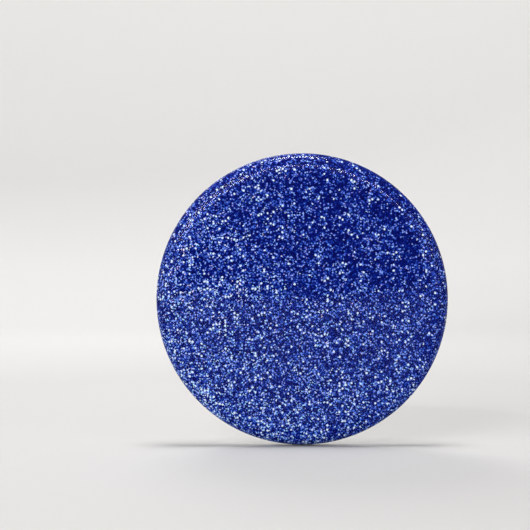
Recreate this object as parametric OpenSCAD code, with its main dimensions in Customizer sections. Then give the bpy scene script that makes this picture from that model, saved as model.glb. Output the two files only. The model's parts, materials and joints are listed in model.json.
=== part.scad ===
// Round button badge with a spring-wire pin on its back.
// A tinplate front shell carries a printed paper disc under a clear film. All three are rolled
// over together at the edge and grip the flange of a pressed back plate. A wire pin is held to
// the plate by two straps, and its point lies under a wire catch.
// Frame: as worn, +Z up, the face towards -Y and the pin on the +Y side.

/* [Badge] */
// Diameter over the clear film
badge_d = 57.15; // [55:0.05:60]
// Thickness from the rolled rim to the top of the domed face
badge_h = 5.6; // [5.5:0.05:6.5]
// Radius of the domed face
dome_r = 280; // [240:5:500]
// Radius of the shoulder between the face and the side
shoulder_r = 2.8; // [2.4:0.1:3]
// Outer radius of the roll at the rim
curl_r = 0.8; // [0.7:0.05:0.85]
// How far the rolled edge runs on inside the badge
lip_len = 1.1; // [0.5:0.1:1.3]

/* [Sheets] */
// Thickness of the clear film
film_t = 0.08; // [0.05:0.01:0.1]
// Thickness of the printed paper
paper_t = 0.12; // [0.08:0.01:0.14]
// Thickness of the tinplate
tin_t = 0.25; // [0.2:0.01:0.28]

/* [Back plate] */
// Depth of the flat floor below the rim
recess = 2.9; // [2.9:0.05:3]
// Tilt of the wide ring between the rim bead and the floor
ring_tilt = 25.5; // [23:0.5:30]
// Outer radius of the bead at the plate's edge
bead_r = 0.45; // [0.4:0.01:0.5]
// Radius of the groove inside the bead
groove_r = 0.25; // [0.2:0.01:0.3]
// Radius of the rounded land between the groove and the ring
land_r = 1.6; // [1.2:0.1:1.8]
// Radius of the corner between the ring and the floor
corner_r = 0.5; // [0.3:0.05:0.8]
// Length of the plate's hidden flange
flange_len = 1.6; // [1:0.1:1.8]

/* [Pin] */
// Diameter of the pin's wire
wire_d = 0.84; // [0.7:0.02:0.86]
// Height of the pin above the badge's centre
pin_z = 7.95; // [7:0.05:8.2]
// Height of the pin's axis over the floor
pin_rise = 1.05; // [1.02:0.01:1.1]
// Where the pin starts to flex, left of the centre
pivot_x = -14; // [-15:0.1:-13]
// Where the pin starts to taper
taper_x = 10.4; // [9:0.1:10.4]
// Where the point ends
tip_x = 15.5; // [14.5:0.1:16]
// Spacing between the pin and its anchored tail
tail_gap = 3.6; // [3.2:0.1:4.5]
// Where the anchored tail ends
tail_x = -8; // [-9:0.1:-5]

/* [Catch] */
// Diameter of the catch's wire
catch_d = 0.95; // [0.8:0.05:0.95]
// Middle of the catch, right of the centre
catch_x = 13.15; // [13.1:0.05:13.5]
// Spacing of the catch's two arms
catch_w = 3.7; // [3.4:0.1:3.8]
// Height of the catch's closed end above the badge's centre
catch_low_z = 5.13; // [4.8:0.01:5.4]
// Rise of the arms towards the closed end
catch_slope = 7; // [6.5:0.1:7]

/* [Hidden] */
$fn = 48;

badge_r = badge_d / 2;
// The local profile has its rim at z = 0 and its face at z = badge_h, so this is its place in y
rim_y = badge_h / 2;
floor_y = rim_y - recess;

// Shoulder: tangent to the dome and to the straight side
dome_edge = asin((badge_r - shoulder_r) / (dome_r - shoulder_r));
shoulder_z = badge_h - dome_r + (dome_r - shoulder_r) * cos(dome_edge);
curl_at = [badge_r - curl_r, curl_r];
skin_t = film_t + paper_t;

// Back plate: arcs of the bead, groove, land and corner, each tangent to the next. The bead and
// the groove end at the given angles, and the bead's top lies this deep under the rim.
press_gap = 0.01;
flange_r = badge_r - 2 * curl_r - press_gap;
bead_top = 0.15;
bead_end = -165;
groove_end = 105;
bead_at = [flange_r - bead_r, bead_top + bead_r];
groove_at = bead_at + (bead_r + groove_r) * [cos(bead_end), sin(bead_end)];
land_at = groove_at + (groove_r + land_r) * [cos(groove_end), sin(groove_end)];
ring_top = land_at + land_r * [cos(-90 - ring_tilt), sin(-90 - ring_tilt)];
corner_drop = corner_r * (1 - cos(ring_tilt));
corner_run = (recess - corner_drop - ring_top[1]) / tan(ring_tilt) + corner_r * sin(ring_tilt);
corner_at = [ring_top[0] - corner_run, recess - corner_r];

// Pocket pressed into the floor under the catch
pocket_at = [13.5, 7.15];
pocket_size = [7, 5.6];
pocket_r = 2.2;
pocket_deep = 0.3;
pocket_draft = 45;

// How far a cut runs past the surface that it opens
cut = 0.1;

// Pin
wire_r = wire_d / 2;
flex_gap = 0.02;
point_r = 0.04;
pin_y = floor_y + pin_rise;
tail_lift = 0.01;
tail_y = floor_y + wire_r + tail_lift;
tail_z = pin_z - tail_gap;
// The tail's turn ends just short of the ball at the needle's root
turn_x = pivot_x - wire_r - flex_gap;

// Straps over the tail
strap_w = 1.8;
strap_gap = 0.03;
strap_xs = [-12.6, -9.6];

// Catch
catch_r = catch_d / 2;
catch_bend = 1;
catch_turn = 1.35;
catch_y = floor_y + 2;
catch_z = pin_z + catch_bend * sin(catch_slope);
catch_len = (catch_z - catch_low_z) / cos(catch_slope);
leg_hole_gap = 0.02;
rivet_r = 0.75;
rivet_h = 0.3;
leg_foot_y = floor_y - pocket_deep - tin_t;
// Length of the straight leg, down to half-way through the rivet's head
catch_leg = (catch_y - catch_bend * sin(catch_slope) - leg_foot_y + rivet_h / 2) / cos(catch_slope)
    - catch_bend;
rivet_z = catch_z - (catch_leg + catch_bend) * sin(catch_slope) + catch_bend * cos(catch_slope);

TIN = "gainsboro";
WIRE = "silver";
PRINT = "mediumblue";

// ---- Helpers ----

// Points along an arc, from angle a to angle b
function arc(at, r, a, b, n) =
    [for (i = [0:n]) at + r * [cos(a + (b - a) * i / n), sin(a + (b - a) * i / n)]];

function reversed(p) = [for (i = [len(p) - 1:-1:0]) p[i]];

// Turns a profile about the badge's axis, with profile y = 0 at the rim
module turned()
    translate([0, rim_y, 0])
        rotate([90, 0, 0])
            rotate_extrude($fn = 180)
                children();

// A wire's bend in the XY plane, from the +X side to the given angle, about the origin
module elbow(bend, wire, angle)
    rotate_extrude(angle = angle, $fn = 72)
        translate([bend, 0])
            circle(r = wire, $fn = 32);

// The pocket under the catch, with round corners and sloping walls, as a solid of its hollow. Its
// bottom and walls are moved outwards by grow, and its top is this much over the floor.
module pocket(grow, rise) {
    core = pocket_size / 2 - [pocket_r, pocket_r];
    deep = pocket_deep + grow;
    low_r = pocket_r - deep * tan(pocket_draft) + grow / cos(pocket_draft);
    high_r = low_r + (deep + rise) * tan(pocket_draft);
    translate([pocket_at[0], floor_y - deep, pocket_at[1]])
        rotate([-90, 0, 0]) {
            for (sx = [-1, 1], sy = [-1, 1])
                translate([sx * core[0], sy * core[1], 0])
                    cylinder(r1 = low_r, r2 = high_r, h = deep + rise);
            for (turn = [0, 1]) {
                long = core[turn];
                wide = core[1 - turn];
                rotate([0, 0, 90 * turn])
                    translate([0, wide, 0])
                        rotate([90, 0, 0])
                            linear_extrude(2 * wide)
                                polygon([
                                    [-long - low_r, 0],
                                    [long + low_r, 0],
                                    [long + high_r, deep + rise],
                                    [-long - high_r, deep + rise]]);
            }
        }
}

// ---- Front: shell, print and film, three sheets rolled over one edge ----

// Line of a sheet's surface at depth d under the film's outer surface
function sheet_line(d) = concat(
    arc([0, badge_h - dome_r], dome_r - d, 90, 90 - dome_edge, 14),
    arc([badge_r - shoulder_r, shoulder_z], shoulder_r - d, 90 - dome_edge, 0, 14),
    arc(curl_at, curl_r - d, 0, -180, 20),
    [[curl_at[0] - curl_r + d, curl_r + lip_len]]);

module front_sheet(outer, inner)
    turned()
        polygon(concat(sheet_line(outer), reversed(sheet_line(inner))));

module front_shell()
    color(TIN)
        front_sheet(skin_t, skin_t + tin_t);

module printed_disc()
    color(PRINT)
        front_sheet(film_t, skin_t);

module clear_film()
    color("white", 0.3)
        front_sheet(0, film_t);

// ---- Back plate: a tinplate pan with a bead round its edge ----

// Line of the plate's surface at depth d under its back surface
function plate_line(d) = concat(
    [[0, recess + d]],
    arc(corner_at, corner_r + d, 90, 90 - ring_tilt, 6),
    arc(land_at, land_r - d, -90 - ring_tilt, groove_end - 180, 12),
    arc(groove_at, groove_r + d, groove_end, bead_end + 180, 8),
    arc(bead_at, bead_r - d, bead_end, 0, 16),
    [[flange_r - d, bead_at[1] + flange_len]]);

// A strap raised out of the plate, across the pin's tail
module strap(x) {
    outer_r = wire_r + strap_gap + tin_t;
    translate([x - strap_w / 2, 0, 0])
        rotate([0, 90, 0])
            translate([-tail_z, tail_y, 0]) {
                cylinder(r = outer_r, h = strap_w);
                translate([-outer_r, floor_y - tail_y - tin_t, 0])
                    cube([2 * outer_r, tail_y - floor_y + tin_t, strap_w]);
            }
}

// The tunnel through a strap and the window that it leaves in the plate
module strap_tunnel(x) {
    inner_r = wire_r + strap_gap;
    translate([x - strap_w / 2 - cut, 0, 0])
        rotate([0, 90, 0])
            translate([-tail_z, tail_y, 0]) {
                cylinder(r = inner_r, h = strap_w + 2 * cut);
                translate([-inner_r, floor_y - tail_y - tin_t - cut, 0])
                    cube([2 * inner_r, tail_y - floor_y + tin_t + cut, strap_w + 2 * cut]);
            }
}

module back_plate()
    color(TIN)
        difference() {
            union() {
                turned()
                    polygon(concat(plate_line(0), reversed(plate_line(tin_t))));
                pocket(tin_t, -tin_t / 2);
                for (x = strap_xs)
                    strap(x);
            }
            pocket(0, cut);
            for (x = strap_xs)
                strap_tunnel(x);
            catch_place()
                for (side = [-1, 1])
                    translate([side * catch_w / 2, -catch_leg - catch_bend, catch_bend])
                        rotate([-90, 0, 0])
                            cylinder(r = catch_r + leg_hole_gap, h = catch_leg);
        }

// ---- Catch: a U of wire whose legs are riveted through the plate ----

// Places the catch: its own origin is where the arms leave their upper bends
module catch_place()
    translate([catch_x, catch_y, catch_z])
        rotate([catch_slope, 0, 0])
            children();

// Half of the catch, on the +X side: a leg, an arm and half of the closed end
module catch_half() {
    arm = catch_len - catch_turn;
    end = catch_w / 2 - catch_turn;
    translate([catch_w / 2, -catch_bend, 0]) {
        rotate([0, -90, 0])
            elbow(catch_bend, catch_r, 90);
        translate([0, -catch_leg, catch_bend])
            rotate([-90, 0, 0])
                cylinder(r = catch_r, h = catch_leg);
    }
    translate([catch_w / 2, 0, -arm])
        cylinder(r = catch_r, h = arm);
    translate([end, 0, -arm])
        rotate([-90, 0, 0])
            elbow(catch_turn, catch_r, 90);
    translate([0, 0, -catch_len])
        rotate([0, 90, 0])
            cylinder(r = catch_r, h = end);
}

module catch_loop()
    color(WIRE)
        for (side = [0, 1])
            mirror([side, 0, 0])
                translate([side * -2 * catch_x, 0, 0]) {
                    catch_place()
                        catch_half();
                    translate([catch_x + catch_w / 2, leg_foot_y - rivet_h, rivet_z])
                        rotate([-90, 0, 0])
                            cylinder(r = rivet_r, h = rivet_h);
                }

// ---- Pin: one wire, fixed up to its flexing point and free from there to its tip ----

module pin_anchor() {
    lean = atan2(pin_y - tail_y, tail_gap);
    turn_r = norm([pin_y - tail_y, tail_gap]) / 2;
    color(WIRE)
        translate([turn_x, (pin_y + tail_y) / 2, pin_z - tail_gap / 2])
            rotate([-lean, 0, 0]) {
                rotate([-90, 90, 0])
                    elbow(turn_r, wire_r, 180);
                translate([0, 0, -turn_r])
                    rotate([0, 90, 0])
                        cylinder(r = wire_r, h = tail_x - turn_x);
            }
}

module pin_needle()
    color(WIRE)
        translate([pivot_x, pin_y, pin_z]) {
            sphere(r = wire_r);
            rotate([0, 90, 0])
                cylinder(r = wire_r, h = taper_x - pivot_x);
            translate([taper_x - pivot_x, 0, 0])
                rotate([0, 90, 0])
                    cylinder(r1 = wire_r, r2 = point_r, h = tip_x - taper_x);
        }

front_shell();
printed_disc();
clear_film();
back_plate();
catch_loop();
pin_anchor();
pin_needle();
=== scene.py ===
import json
import math

import bmesh
import bpy
from mathutils import Matrix, Vector


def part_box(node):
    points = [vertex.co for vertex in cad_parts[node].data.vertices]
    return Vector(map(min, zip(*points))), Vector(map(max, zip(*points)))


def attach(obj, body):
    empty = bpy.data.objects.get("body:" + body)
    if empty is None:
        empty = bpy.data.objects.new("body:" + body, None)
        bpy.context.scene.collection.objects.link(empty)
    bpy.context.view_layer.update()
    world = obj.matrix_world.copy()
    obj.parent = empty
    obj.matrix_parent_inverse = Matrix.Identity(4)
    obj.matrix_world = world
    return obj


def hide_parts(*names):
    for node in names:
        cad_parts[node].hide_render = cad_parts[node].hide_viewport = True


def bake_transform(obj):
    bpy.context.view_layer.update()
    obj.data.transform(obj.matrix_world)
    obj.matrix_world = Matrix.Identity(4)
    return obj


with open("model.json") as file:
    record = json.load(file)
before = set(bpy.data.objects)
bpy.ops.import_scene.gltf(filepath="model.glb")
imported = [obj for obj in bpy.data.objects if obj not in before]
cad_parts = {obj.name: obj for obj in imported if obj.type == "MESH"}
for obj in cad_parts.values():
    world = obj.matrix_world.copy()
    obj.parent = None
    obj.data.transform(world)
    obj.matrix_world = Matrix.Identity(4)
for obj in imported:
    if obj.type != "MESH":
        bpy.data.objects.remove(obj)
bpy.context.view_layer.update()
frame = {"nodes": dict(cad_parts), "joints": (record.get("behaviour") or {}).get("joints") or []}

# ---------------------------------------------------------------------------------------------
# The view. The badge is seen square on, a little right of and below the middle of the picture,
# and it fills just over half of the picture's width.
# ---------------------------------------------------------------------------------------------
film_low, film_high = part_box("clear_film")
badge_width = film_high.x - film_low.x
badge_radius = badge_width / 2

SHARE_OF_PICTURE = 0.551
RIGHT_OF_MIDDLE = 0.070
BELOW_MIDDLE = 0.064
# The badge is widest a little in front of its rim, and the camera's distance counts from there
WIDEST_BEFORE_RIM = 0.0016
LENS = 85.0
SENSOR = 36.0
NEAREST_SEEN = 0.005
FURTHEST_SEEN = 20.0

picture_width = badge_width / SHARE_OF_PICTURE
camera_data = bpy.data.cameras.new("camera")
camera_data.lens = LENS
camera_data.sensor_width = SENSOR
camera_data.clip_start = NEAREST_SEEN
camera_data.clip_end = FURTHEST_SEEN
camera = bpy.data.objects.new("camera", camera_data)
camera.location = (
    -RIGHT_OF_MIDDLE * picture_width,
    film_high.y - WIDEST_BEFORE_RIM - picture_width * LENS / SENSOR,
    BELOW_MIDDLE * picture_width,
)
camera.rotation_euler = (math.radians(90), 0, 0)
bpy.context.scene.collection.objects.link(camera)
bpy.context.scene.camera = camera
bpy.context.scene.view_settings.view_transform = "Standard"


# ---------------------------------------------------------------------------------------------
# The table it stands on: a pale matt paper that curves up all round, so that nothing but the
# same pale grey shows behind the badge and in its bright metal. Three soft boxes light the
# badge, two more light the paper, and two dark discs keep some of the light off the gloss.
# ---------------------------------------------------------------------------------------------
MM = 1000.0


class Reading:
    """A value in a finish. Sums on readings add Math nodes."""

    def __init__(self, finish, socket):
        self.finish = finish
        self.socket = socket

    def beside(self, output):
        """Another output of the same node."""
        return Reading(self.finish, self.socket.node.outputs[output])

    def sum(self, operation, *values):
        return self.finish.node("ShaderNodeMath", {"operation": operation}, dict(enumerate(values)))

    def __add__(self, other):
        return self.sum("ADD", self, other)

    def __sub__(self, other):
        return self.sum("SUBTRACT", self, other)

    def __rsub__(self, other):
        return self.sum("SUBTRACT", other, self)

    def __mul__(self, other):
        return self.sum("MULTIPLY", self, other)

    def __truediv__(self, other):
        return self.sum("DIVIDE", self, other)

    def __rtruediv__(self, other):
        return self.sum("DIVIDE", other, self)

    def __gt__(self, other):
        return self.sum("GREATER_THAN", self, other)

    def __lt__(self, other):
        return self.sum("LESS_THAN", self, other)

    __radd__ = __add__
    __rmul__ = __mul__


class Finish:
    """A material of one Principled shader, whose nodes are added one by one."""

    def __init__(self, name, **shader):
        self.material = bpy.data.materials.new(name)
        self.material.use_nodes = True
        self.tree = self.material.node_tree
        self.tree.nodes.clear()
        self.output = self.tree.nodes.new("ShaderNodeOutputMaterial")
        self.shader = self.tree.nodes.new("ShaderNodeBsdfPrincipled")
        self.tree.links.new(self.shader.outputs[0], self.output.inputs[0])
        for socket, value in shader.items():
            self.set(socket.replace("_", " "), value)

    def set(self, socket, value):
        self.feed(self.shader.inputs[socket], value)

    def fed(self, socket):
        """What feeds one of the shader's sockets already."""
        return Reading(self, self.shader.inputs[socket].links[0].from_socket)

    def cover(self, surface):
        """Shows this surface in place of the Principled shader."""
        self.tree.nodes.remove(self.shader)
        self.feed(self.output.inputs[0], surface)

    def feed(self, socket, value):
        if isinstance(value, Reading):
            self.tree.links.new(value.socket, socket)
        else:
            socket.default_value = value

    def node(self, kind, settings=None, sockets=None, output=0):
        """Adds a node: its settings first, then the values or links of its sockets."""
        made = self.tree.nodes.new(kind)
        for name, value in (settings or {}).items():
            if name == "stops":
                self.set_stops(made.color_ramp, value)
            else:
                setattr(made, name, value)
        for name, value in (sockets or {}).items():
            self.feed(made.inputs[name], value)
        return Reading(self, made.outputs[output])

    def set_stops(self, ramp, stops):
        while len(ramp.elements) > 1:
            ramp.elements.remove(ramp.elements[-1])
        ramp.elements[0].position, ramp.elements[0].color = stops[0]
        for place, colour in stops[1:]:
            ramp.elements.new(place).color = colour

    def place(self):
        """Places on the badge in millimetres, in the frame's own axes."""
        here = self.node("ShaderNodeTexCoord", output="Object")
        return self.node("ShaderNodeVectorMath", {"operation": "SCALE"}, {0: here, "Scale": MM})

    def stretched(self, place, x, y, z):
        return self.node("ShaderNodeVectorMath", {"operation": "MULTIPLY"}, {0: place, 1: (x, y, z)})

    def moved(self, place, x, y, z):
        return self.node("ShaderNodeVectorMath", {"operation": "ADD"}, {0: place, 1: (x, y, z)})

    def reach(self, place):
        """How far a place is from the frame's middle."""
        return self.node("ShaderNodeVectorMath", {"operation": "LENGTH"}, {0: place}, output="Value")

    def noise(self, place, scale, detail=2.0, roughness=0.5):
        return self.node(
            "ShaderNodeTexNoise",
            None,
            {"Vector": place, "Scale": scale, "Detail": detail, "Roughness": roughness},
        )

    def ramp(self, value, stops):
        return self.node("ShaderNodeValToRGB", {"stops": stops}, {0: value})

    def mix(self, share, first, second, blend="MIX"):
        return self.node(
            "ShaderNodeMix",
            {"data_type": "RGBA", "blend_type": blend},
            {0: share, 6: first, 7: second},
            output=2,
        )

    def bump(self, height, distance, strength=1.0):
        normal = self.node(
            "ShaderNodeBump",
            None,
            {"Height": height, "Distance": distance, "Strength": strength},
        )
        self.set("Normal", normal)


def grey(level):
    return (level, level, level, 1.0)


def spun(name, line, turns):
    """A smooth mesh of revolution about Z through (radius, height) points, the first on the axis.
    Where the last point is on the axis too, the mesh is closed."""
    closed = line[-1][0] == 0
    rings = line[1:-1] if closed else line[1:]
    verts = [(0.0, 0.0, line[0][1])]
    for radius, height in rings:
        for i in range(turns):
            angle = 2 * math.pi * i / turns
            verts.append((radius * math.cos(angle), radius * math.sin(angle), height))
    faces = [(0, 1 + i, 1 + (i + 1) % turns) for i in range(turns)]
    for ring in range(len(rings) - 1):
        a = 1 + ring * turns
        b = a + turns
        faces += [(a + i, b + i, b + (i + 1) % turns, a + (i + 1) % turns) for i in range(turns)]
    if closed:
        last = len(verts)
        first = last - turns
        verts.append((0.0, 0.0, line[-1][1]))
        faces += [(last, first + (i + 1) % turns, first + i) for i in range(turns)]
    mesh = bpy.data.meshes.new(name)
    mesh.from_pydata(verts, [], faces)
    mesh.polygons.foreach_set("use_smooth", [True] * len(faces))
    made = bpy.data.objects.new(name, mesh)
    bpy.context.scene.collection.objects.link(made)
    return made


TABLE_RADIUS = 0.45
TABLE_MIDDLE = 0.10
COVE_RADIUS = 0.30
WALL_TOP = 0.38
COVE_STEPS = 16
TABLE_TURNS = 96
UNDER_BADGE = 0.00005
NEAR_PAPER = (0.585, 0.575, 0.565, 1)
FAR_PAPER = (0.87, 0.858, 0.845, 1)

cove = [
    (
        TABLE_RADIUS + COVE_RADIUS * math.sin(math.pi / 2 * i / COVE_STEPS),
        COVE_RADIUS * (1 - math.cos(math.pi / 2 * i / COVE_STEPS)),
    )
    for i in range(COVE_STEPS + 1)
]
wall_top = (TABLE_RADIUS + COVE_RADIUS, WALL_TOP)
table = spun("table", [(0, 0), (TABLE_MIDDLE, 0)] + cove + [wall_top], TABLE_TURNS)
table.location.z = film_low.z - UNDER_BADGE

paper_table = Finish("pale_table", Roughness=0.85)
table_place = paper_table.place()
table_tooth = paper_table.noise(table_place, 1.6, 3.0)
# The paper is paler up the walls, which are further from the lights
paper_reach = paper_table.reach(table_place) / MM + table_tooth * 0.02
paper_table.set("Base Color", paper_table.ramp(paper_reach, [(0.16, NEAR_PAPER), (0.60, FAR_PAPER)]))
paper_table.bump(table_tooth, 0.0001, 0.3)
table.data.materials.append(paper_table.material)


def soft_box(name, place, size, power, colour=(1, 1, 1), aim=(0, 0, 0)):
    """A round soft light at a place, turned to what it is aimed at."""
    light = bpy.data.lights.new(name, "AREA")
    light.shape = "DISK"
    light.size = size
    light.energy = power
    light.color = colour
    made = bpy.data.objects.new(name, light)
    made.location = place
    made.rotation_euler = (Vector(aim) - Vector(place)).to_track_quat("-Z", "Y").to_euler()
    bpy.context.scene.collection.objects.link(made)


soft_box("key", (-0.26, -0.44, 0.26), 0.30, 1.35, (1.0, 0.99, 0.97))
soft_box("fill", (0.40, -0.34, 0.16), 0.26, 0.30, (0.97, 0.98, 1.0))
soft_box("back", (-0.12, 0.40, 0.36), 0.30, 0.9)
soft_box("wall_behind", (0.0, -0.02, 0.60), 0.26, 2.9, aim=(0, 0.75, 0.1))
soft_box("wall_before", (0.0, 0.02, 0.60), 0.26, 1.6, aim=(0, -0.75, 0.1))

world = bpy.data.worlds.new("room")
world.use_nodes = True
room_light = world.node_tree.nodes["Background"]
room_light.inputs["Color"].default_value = (0.95, 0.97, 1.0, 1)
room_light.inputs["Strength"].default_value = 0.20
bpy.context.scene.world = world

DISC_TURNS = 48

dark_cloth = Finish("dark_card_cloth", Roughness=0.9, Base_Color=(0.01, 0.01, 0.011, 1))


def dark_disc(name, radius, place, tilt):
    """A disc of black cloth that only the gloss catches: it casts no shadow and isn't seen."""
    made = spun(name, [(0, 0), (radius, 0)], DISC_TURNS)
    made.location = place
    made.rotation_euler = (math.radians(tilt), 0, 0)
    made.data.materials.append(dark_cloth.material)
    made.visible_camera = False
    made.visible_shadow = False
    made.visible_diffuse = False


# One stands behind the camera and keeps the light out of the clear film, seen square on. The
# other lies on the table behind the badge and gives the sloping ring of the plate a dark side.
dark_disc("dark_card", 0.22, (0, -0.55, 0), 90)
dark_disc("dark_flag", 0.032, (0.025, 0.038, film_low.z), 0)


# ---------------------------------------------------------------------------------------------
# The front shell: a shallow cup pressed from tinplate, rolled over at the rim. The print and
# the film cover all of it, so only its cut edge could be seen, inside the badge.
# ---------------------------------------------------------------------------------------------
LIGHTER_TIN = 1.08
DARKER_TIN = 0.78
SCUFF_ROUGHNESS = 0.05


def tinplate(name, tint, smooth, rough, grain_bump):
    """Bright rolled steel: fine lines along the rolling direction, faint blotches drawn out along Z into
    tall streaks that are partly a painted streaky reflection, and scuffs.
    """
    finish = Finish(name, Metallic=1.0)
    place = finish.place()
    grain = finish.noise(finish.stretched(place, 9.0, 9.0, 0.35), 1.0, 3.0, 0.6)
    # Partly painted reflection: besides faint blotches of tone, these tall streaks along Z stand in for
    # the streaky reflections in the bright metal
    blotch_and_painted_streaks = finish.noise(finish.stretched(place, 0.32, 0.32, 0.07), 1.0, 3.0)
    scuffs = finish.noise(finish.stretched(place, 1.2, 1.2, 6.0), 1.0, 4.0, 0.7)
    scuffed = finish.ramp(scuffs, [(0.60, grey(0)), (0.72, grey(1))])
    light = tuple(min(1, c * LIGHTER_TIN) for c in tint) + (1,)
    dark = tuple(c * DARKER_TIN for c in tint) + (1,)
    finish.set("Base Color", finish.ramp(grain * 0.45 + blotch_and_painted_streaks * 0.55, [(0.36, dark), (0.60, light)]))
    finish.set("Roughness", smooth + grain * (rough - smooth) + scuffed * SCUFF_ROUGHNESS)
    finish.bump(grain, grain_bump, 1.0)
    return finish


def dress(node, finish):
    """Gives a CAD node its finish."""
    piece = frame["nodes"][node]
    piece.data.materials.clear()
    piece.data.materials.append(finish.material)


dress("front_shell", tinplate("shell_tinplate", (0.70, 0.70, 0.69), 0.18, 0.34, 2e-6))


# ---------------------------------------------------------------------------------------------
# The printed disc: thin white paper with a blue glitter pattern printed on it. The pattern runs
# over the shoulder and stops at the side, and the plain margin is rolled over the rim.
# ---------------------------------------------------------------------------------------------
FILM_THICKNESS = 0.00008
PAPER_THICKNESS = 0.00012
DOME_RADIUS = 0.280
SHOULDER_RADIUS = 0.0028
CURL_RADIUS = 0.0008
LIP_LENGTH = 0.0011
SHEET_TURNS = 288
DOME_STEPS = 24
SHOULDER_STEPS = 22
CURL_STEPS = 26

badge_depth = film_high.y - film_low.y
dome_edge = math.asin((badge_radius - SHOULDER_RADIUS) / (DOME_RADIUS - SHOULDER_RADIUS))
shoulder_height = badge_depth - DOME_RADIUS + (DOME_RADIUS - SHOULDER_RADIUS) * math.cos(dome_edge)


def arc(centre, radius, start, end, steps):
    """Points along an arc of a profile, its angles in radians."""
    angles = [start + (end - start) * i / steps for i in range(steps + 1)]
    return [(centre[0] + radius * math.cos(t), centre[1] + radius * math.sin(t)) for t in angles]


def sheet_line(depth):
    """Profile of a sheet's surface at this depth under the film, as (radius, height over the rim)."""
    dome_middle = (0, badge_depth - DOME_RADIUS)
    shoulder_middle = (badge_radius - SHOULDER_RADIUS, shoulder_height)
    curl_middle = (badge_radius - CURL_RADIUS, CURL_RADIUS)
    top = math.pi / 2
    dome = arc(dome_middle, DOME_RADIUS - depth, top, top - dome_edge, DOME_STEPS)
    shoulder = arc(shoulder_middle, SHOULDER_RADIUS - depth, top - dome_edge, 0, SHOULDER_STEPS)
    curl = arc(curl_middle, CURL_RADIUS - depth, 0, -math.pi, CURL_STEPS)
    lip = [(curl[-1][0], CURL_RADIUS + LIP_LENGTH)]
    dome[0] = (0.0, dome[0][1])
    return dome + shoulder + curl + lip


def flat_reach(line):
    """How far each point of a profile was from the middle while the sheet was flat."""
    reach = [0.0]
    for a, b in zip(line, line[1:]):
        reach.append(reach[-1] + math.dist(a, b))
    return reach


def rolled_sheet(name, outer, inner):
    """A thin closed sheet between two depths, rolled over the rim like the shell, facing -Y. Its
    points keep their place on the flat sheet, in millimetres."""
    outer_line = sheet_line(outer)
    inner_line = sheet_line(inner)
    made = spun(name, outer_line + inner_line[::-1], SHEET_TURNS)
    made.data.transform(Matrix.Rotation(math.radians(90), 4, "X"))
    made.data.transform(Matrix.Translation((0, film_high.y, 0)))
    reach = flat_reach(outer_line) + flat_reach(inner_line)[::-1]
    flat = [(0.0, 0.0, 0.0)]
    for distance in reach[1:-1]:
        for i in range(SHEET_TURNS):
            angle = 2 * math.pi * i / SHEET_TURNS
            flat.append((MM * distance * math.cos(angle), MM * distance * math.sin(angle), 0.0))
    flat.append((0.0, 0.0, 0.0))
    stored = made.data.attributes.new("flat_place", "FLOAT_VECTOR", "POINT")
    stored.data.foreach_set("vector", [c for point in flat for c in point])
    return made


# Ink colours, from the dark ground up to the bright flakes: each number is the share of the
# fine flakes that are darker
PRINT_TONES = [
    (0.00, (0.0000, 0.0010, 0.072, 1)),
    (0.40, (0.0000, 0.0025, 0.108, 1)),
    (0.61, (0.0002, 0.0060, 0.176, 1)),
    (0.74, (0.0018, 0.0170, 0.278, 1)),
    (0.83, (0.0120, 0.0530, 0.460, 1)),
    (0.90, (0.0700, 0.1550, 0.750, 1)),
    (0.95, (0.2700, 0.4100, 0.990, 1)),
    (1.00, (0.6000, 0.7500, 1.000, 1)),
]
AZURE, PALE_BLUE, ICE_BLUE = (colour for share, colour in PRINT_TONES[4:7])
FROST = (0.68, 0.82, 1.0, 1)
PAPER_WHITE = (0.86, 0.86, 0.87, 1)
# Flake sizes, and how far in front of the rim the ink stops, in millimetres
FINE_FLAKE = 0.21
COARSE_FLAKE = 0.37
BOLD_FLAKE = 0.58
PRINT_EDGE = 1.0
# The larger flakes are inked this far out from their middles, as a share of their size
COARSE_FILL = 0.44
BOLD_FILL = 0.46

printed = rolled_sheet("printed_glitter", FILM_THICKNESS, FILM_THICKNESS + PAPER_THICKNESS)
glitter = Finish("printed_paper", Roughness=0.8, Specular_IOR_Level=0.05)
spot = glitter.place()
across = glitter.node("ShaderNodeSeparateXYZ", None, {0: spot})
depth = across.beside("Y")
height = across.beside("Z")
flat_spot = glitter.node("ShaderNodeAttribute", {"attribute_name": "flat_place"}, output="Vector")


def flakes(size, shift):
    """Many-sided flakes of about this size: a tone for each, a hue, and the way to its middle."""
    cells = glitter.node(
        "ShaderNodeTexVoronoi",
        {"voronoi_dimensions": "2D"},
        {"Vector": glitter.moved(flat_spot, shift, 2 * shift, 0.0), "Scale": 1 / size},
        output="Color",
    )
    tone = glitter.node("ShaderNodeSeparateColor", None, {0: cells})
    return tone, tone.beside(1), cells.beside("Distance")


fine, fine_hue, _ = flakes(FINE_FLAKE, 11.0)
coarse, _, coarse_middle = flakes(COARSE_FLAKE, 5.0)
bold, _, bold_middle = flakes(BOLD_FLAKE, 23.0)
cloud = glitter.noise(flat_spot, 0.14, 2.0)
clump = glitter.noise(flat_spot, 0.75, 2.0)
# Painted light and shade: the print's colour is made a little lighter towards the left and the bottom, as
# if more light fell there
painted_light_lean = across * -0.0015 + height * -0.0017
# Random cloudy tone in the print, plus the painted light and shade above
drift_and_painted_light = painted_light_lean + (cloud - 0.5) * 0.25 + (clump - 0.5) * 0.35 - 0.008
colour = glitter.ramp(fine + drift_and_painted_light, PRINT_TONES)
# Some flakes lean a little to violet, and those towards the bottom to a clearer blue
hue = glitter.ramp(
    fine_hue + height * 0.006,
    [(0.1, (0.68, 1.04, 1.10, 1)), (0.8, (1.05, 0.98, 0.97, 1)), (1.0, (1.5, 0.95, 0.97, 1))],
)
colour = glitter.mix(1.0, colour, hue, "MULTIPLY")
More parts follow.
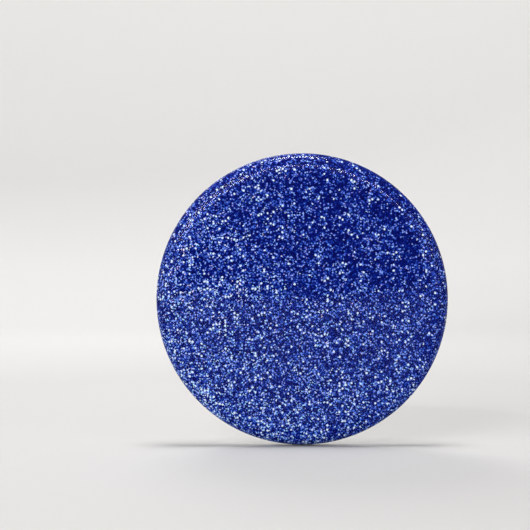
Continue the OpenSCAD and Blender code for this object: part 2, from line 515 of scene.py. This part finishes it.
# Larger flakes lie over the fine ones here and there, and the boldest of them flash white
large = (coarse + drift_and_painted_light > 0.81) * (coarse_middle < COARSE_FILL)
shine = glitter.ramp(coarse, [(0.80, AZURE), (0.90, PALE_BLUE), (0.97, ICE_BLUE)])
colour = glitter.mix(large, colour, shine)
boldest = (bold + drift_and_painted_light * 0.5 > 0.925) * (bold_middle + fine * 0.2 < BOLD_FILL)
colour = glitter.mix(boldest, colour, FROST)
on_front = depth < film_high.y * MM - PRINT_EDGE
glitter.set("Base Color", glitter.mix(on_front, PAPER_WHITE, colour))
fibre = glitter.noise(spot, 9.0, 3.0)
glitter.bump(fibre, 4e-6, 0.5)
printed.data.materials.append(glitter.material)
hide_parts("printed_disc")
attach(printed, "badge")


# ---------------------------------------------------------------------------------------------
# The clear film: a glossy polyester disc laid over the print and rolled over with it. It only
# mirrors the light; what is seen is the print under it.
# ---------------------------------------------------------------------------------------------
FILM_LIFT = 0.000008
FILM_ROUGHNESS = 0.07
SQUARE_ON_MIRROR = 0.007
LOW_ANGLE_MIRROR = 0.11

film_sheet = rolled_sheet("clear_film_sheet", 0.0, FILM_THICKNESS - FILM_LIFT)
film = Finish("clear_film")
film_place = film.place()
scuffs = film.noise(film.stretched(film_place, 0.5, 0.5, 3.0), 1.0, 5.0, 0.7)
waves = film.noise(film_place, 0.25, 2.0)
ripple = film.node("ShaderNodeBump", None, {"Height": waves, "Distance": 2e-5, "Strength": 0.4})
scuffed = film.ramp(scuffs, [(0.60, grey(0)), (0.8, grey(0.06))])
gloss = film.node("ShaderNodeBsdfGlossy", None, {"Roughness": FILM_ROUGHNESS + scuffed, "Normal": ripple})
clear = film.node("ShaderNodeBsdfTransparent", None, {"Color": (1, 1, 1, 1)})
# The film mirrors very little seen square on, and far more at a low angle
facing = film.node("ShaderNodeLayerWeight", None, {"Blend": 0.5, "Normal": ripple}, output="Facing")
mirror = SQUARE_ON_MIRROR + LOW_ANGLE_MIRROR * facing * facing * facing * facing * facing
film.cover(film.node("ShaderNodeMixShader", None, {0: mirror, 1: clear, 2: gloss}))
film_sheet.data.materials.append(film.material)
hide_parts("clear_film")
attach(film_sheet, "badge")


# ---------------------------------------------------------------------------------------------
# The back plate: a tinplate pan with a beaded edge, a wide sloping ring and a flat floor. Its
# flange is gripped by the rolled rim, and two straps raised out of the floor hold the pin.
# ---------------------------------------------------------------------------------------------
# The floor's radius, the width of its worn edge and its top's height in the frame, in millimetres
FLOOR_RADIUS = 20.0
FLOOR_EDGE = 0.35
FLOOR_TOP = 0.05
DULL_ROUGHNESS = 0.22

plate_metal = tinplate("plate_tinplate", (0.84, 0.84, 0.83), 0.08, 0.20, 1.5e-6)
plate_spot = plate_metal.place()
plate_radius = plate_metal.reach(plate_metal.stretched(plate_spot, 1.0, 0.0, 1.0))
plate_depth = plate_metal.node("ShaderNodeSeparateXYZ", None, {0: plate_spot}, output="Y")
# The flat floor keeps the dull, rougher grain of the rolled sheet, and the die has burnished the rest.
# The floor's colour is also painted dark, a painted reflection standing in for the dark reflection a flat
# face shows seen square on
flat = plate_metal.ramp(plate_radius - FLOOR_RADIUS, [(0.0, grey(1)), (FLOOR_EDGE, grey(0))])
dull_floor_painted_dark = flat * (plate_depth < FLOOR_TOP)
grain = plate_metal.noise(plate_metal.stretched(plate_spot, 7.0, 7.0, 0.25), 1.0, 3.0, 0.6)
painted_dark_floor_grain = plate_metal.ramp(grain, [(0.3, (0.160, 0.160, 0.164, 1)), (0.7, (0.195, 0.195, 0.20, 1))])
plate_metal.set("Base Color", plate_metal.mix(dull_floor_painted_dark, plate_metal.fed("Base Color"), painted_dark_floor_grain))
plate_metal.set("Roughness", plate_metal.fed("Roughness") + dull_floor_painted_dark * DULL_ROUGHNESS)
dress("back_plate", plate_metal)


# ---------------------------------------------------------------------------------------------
# The catch: a U of plated wire, its two legs through the plate and riveted over inside. The
# closed end stands off the floor, so that the pin can be slid in under both arms.
# ---------------------------------------------------------------------------------------------
WORN_PLATING = 0.86
WIRE_ROUGHNESS = 0.12


def plated_wire(name, tint):
    """Drawn and plated wire: faint draw lines along X and small scuffs in the plating."""
    finish = Finish(name, Metallic=1.0)
    place = finish.place()
    drawn = finish.noise(finish.stretched(place, 0.5, 14.0, 14.0), 1.0, 2.0)
    worn = finish.noise(place, 1.4, 4.0, 0.65)
    dark = tuple(c * WORN_PLATING for c in tint) + (1,)
    finish.set("Base Color", finish.ramp(worn, [(0.35, dark), (0.6, tint + (1,))]))
    finish.set("Roughness", WIRE_ROUGHNESS + worn * 0.16)
    finish.bump(drawn, 1.5e-6, 1.0)
    return finish


dress("catch_loop", plated_wire("catch_wire", (0.82, 0.82, 0.81)))


# ---------------------------------------------------------------------------------------------
# The pin: one hard spring wire. Its tail lies under the straps, it turns back on itself, and
# the free arm runs across the plate to a ground point. It is made as two pieces that meet at
# the end of the turn, because the arm flexes from there.
# ---------------------------------------------------------------------------------------------
hinge = Vector(next(j["pos_m"] for j in frame["joints"] if j["name"] == "pin_hinge"))
needle_low, needle_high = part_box("pin_needle")
anchor_low, anchor_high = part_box("pin_anchor")
wire_radius = hinge.x - needle_low.x
tip_x = needle_high.x
POINT_LENGTH = 0.0051
POINT_RADIUS = 0.00004
POINT_BELLY = 1.25
TURN_STEPS = 40
STRAIGHT_STEP = 0.0004
WIRE_SIDES = 28

tail = Vector((anchor_high.x, anchor_low.y + wire_radius, anchor_low.z + wire_radius))
turn_middle = Vector((hinge.x - wire_radius, (hinge.y + tail.y) / 2, (hinge.z + tail.z) / 2))
turn_arm = Vector((0, hinge.y - tail.y, hinge.z - tail.z)) / 2


def run(start, end):
    """Points along a straight stretch, without its last one."""
    count = max(1, round((end - start).length / STRAIGHT_STEP))
    return [start.lerp(end, i / count) for i in range(count)]


def turn_point(i):
    """A point on the half turn from the tail round to the arm."""
    angle = math.pi * i / TURN_STEPS
    return turn_middle - turn_arm * math.cos(angle) - Vector((turn_arm.length, 0, 0)) * math.sin(angle)


turn_end = turn_middle + turn_arm
taper_start = Vector((tip_x - POINT_LENGTH, hinge.y, hinge.z))
tip = Vector((tip_x, hinge.y, hinge.z))

root_line = run(tail, turn_middle - turn_arm)
root_line += [turn_point(i) for i in range(TURN_STEPS)] + [turn_end]
arm_line = run(turn_end, taper_start)
arm_radii = [wire_radius] * len(arm_line)
# A ground point bellies out a little before it narrows
for place in run(taper_start, tip):
    share = (place.x - taper_start.x) / POINT_LENGTH
    arm_line.append(place)
    arm_radii.append(wire_radius * (1 - share ** POINT_BELLY) + POINT_RADIUS * share)
arm_line.append(tip)
arm_radii.append(POINT_RADIUS)


def swept(name, centres, radii):
    """A closed round wire along a line of points, with one radius for each point."""
    mesh = bmesh.new()
    across = Vector((0, 1, 0))
    rings = []
    for i, centre in enumerate(centres):
        ahead = centres[min(i + 1, len(centres) - 1)] - centres[max(i - 1, 0)]
        ahead.normalize()
        across = (across - ahead * across.dot(ahead)).normalized()
        other = ahead.cross(across)
        ring = []
        for k in range(WIRE_SIDES):
            angle = 2 * math.pi * k / WIRE_SIDES
            out = across * math.cos(angle) + other * math.sin(angle)
            ring.append(mesh.verts.new(centre + out * radii[i]))
        rings.append(ring)
    for a, b in zip(rings, rings[1:]):
        for k in range(WIRE_SIDES):
            beside = (k + 1) % WIRE_SIDES
            mesh.faces.new((a[k], a[beside], b[beside], b[k])).smooth = True
    for cap in (mesh.faces.new(list(reversed(rings[0]))), mesh.faces.new(rings[-1])):
        for edge in cap.edges:
            edge.smooth = False
    bmesh.ops.recalc_face_normals(mesh, faces=mesh.faces)
    data = bpy.data.meshes.new(name)
    mesh.to_mesh(data)
    mesh.free()
    made = bpy.data.objects.new(name, data)
    bpy.context.scene.collection.objects.link(made)
    return made


spring = plated_wire("spring_wire", (0.80, 0.81, 0.82))
pin_root = swept("pin_root", root_line, [wire_radius] * len(root_line))
pin_arm = swept("pin_arm", arm_line, arm_radii)
for piece, node in ((pin_root, "pin_anchor"), (pin_arm, "pin_needle")):
    piece.data.materials.append(spring.material)
    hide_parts(node)
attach(pin_root, "badge")
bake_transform(pin_arm)
